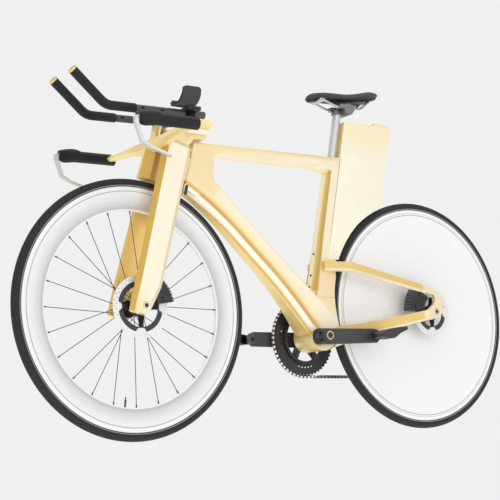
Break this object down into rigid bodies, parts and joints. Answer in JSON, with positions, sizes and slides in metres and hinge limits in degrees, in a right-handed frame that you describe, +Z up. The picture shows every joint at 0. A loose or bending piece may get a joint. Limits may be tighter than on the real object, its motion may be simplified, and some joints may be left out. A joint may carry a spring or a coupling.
{
  "type": "time-trial road bicycle",
  "caption": "Time-trial bicycle with a gold monocoque aero frame, storage fin, deep front rim, rear disc wheel, aero bars with arm pads and disc brakes.",
  "frame": {"origin": "the point on the saddle's top where the rider sits", "axes": "+X forward, towards the front wheel; +Y to the rider's left; +Z up"},
  "size_m": [1.6537, 0.4674, 1.006],
  "materials": {
    "gold_paint": "satin",
    "bright_metal": "satin",
    "tyre_rubber": "matte",
    "white_rim": "satin",
    "silver_hub": "satin",
    "pad_cover": "matte",
    "grip_rubber": "matte",
    "gold_metal": "satin",
    "black_parts": "satin"
  },
  "bodies": {
    "frame": {"main_frame": "gold_paint", "seatstay_left": "gold_paint", "seatstay_right": "gold_paint", "chainstay_left": "gold_paint", "chainstay_right": "gold_paint", "rear_axle": "gold_metal", "storage_box": "gold_paint", "storage_lid": "gold_paint", "frame_seals": "black_parts", "seatpost": "bright_metal", "saddle_pad": "pad_cover", "saddle_shell": "black_parts", "saddle_rails": "bright_metal", "saddle_clamp": "black_parts", "chain": "bright_metal", "rear_derailleur": "black_parts", "front_derailleur": "black_parts", "rear_caliper": "black_parts"},
    "fork": {"fork_leg_left": "gold_paint", "fork_leg_right": "gold_paint", "fork_crown": "gold_paint", "nose_spine": "black_parts", "nose_fairing": "gold_paint", "steerer": "gold_metal", "front_axle": "gold_metal", "stem": "gold_paint", "base_bar": "gold_paint", "grip_left": "grip_rubber", "grip_right": "grip_rubber", "brake_lever_left": "bright_metal", "brake_lever_right": "bright_metal", "extension_left": "black_parts", "extension_right": "black_parts", "extension_grip_left": "grip_rubber", "extension_grip_right": "grip_rubber", "bar_plugs": "gold_metal", "pad_bracket": "black_parts", "arm_cup_left": "black_parts", "arm_cup_right": "black_parts", "arm_pad_left": "pad_cover", "arm_pad_right": "pad_cover", "front_caliper": "black_parts"},
    "front_wheel": {"front_tyre": "tyre_rubber", "front_rim": "white_rim", "front_hub": "silver_hub", "front_spokes": "black_parts", "front_rotor": "bright_metal"},
    "rear_wheel": {"rear_tyre": "tyre_rubber", "rear_disc": "white_rim", "rear_hub": "silver_hub", "rear_rotor": "bright_metal", "cassette": "bright_metal"},
    "crankset": {"crank_spindle": "gold_metal", "crank_arm_left": "black_parts", "crank_arm_right": "black_parts", "outer_ring": "black_parts", "inner_ring": "black_parts", "crank_bolts": "gold_metal"},
    "left_pedal": {"pedal_left": "black_parts"},
    "right_pedal": {"pedal_right": "black_parts"}
  },
  "joints": [
    {"name": "steering", "type": "hinge", "parent": "frame", "child": "fork", "pos_m": [0.59151, 0, -0.27819], "axis": [-0.284, 0, 0.9588], "range_deg": [-18, 18]},
    {"name": "front_wheel_spin", "type": "hinge", "parent": "fork", "child": "front_wheel", "pos_m": [0.74635, 0, -0.6495], "axis": [0, 1, 0], "continuous": true},
    {"name": "rear_wheel_spin", "type": "hinge", "parent": "frame", "child": "rear_wheel", "pos_m": [-0.23466, 0, -0.6495], "axis": [0, 1, 0], "continuous": true},
    {"name": "crank_spin", "type": "hinge", "parent": "frame", "child": "crankset", "pos_m": [0.165, 0, -0.721], "axis": [0, 1, 0], "continuous": true},
    {"name": "left_pedal_spin", "type": "hinge", "parent": "crankset", "child": "left_pedal", "pos_m": [-0.005, 0.1, -0.721], "axis": [0, 1, 0], "continuous": true},
    {"name": "right_pedal_spin", "type": "hinge", "parent": "crankset", "child": "right_pedal", "pos_m": [0.335, -0.1, -0.721], "axis": [0, 1, 0], "continuous": true}
  ]
}
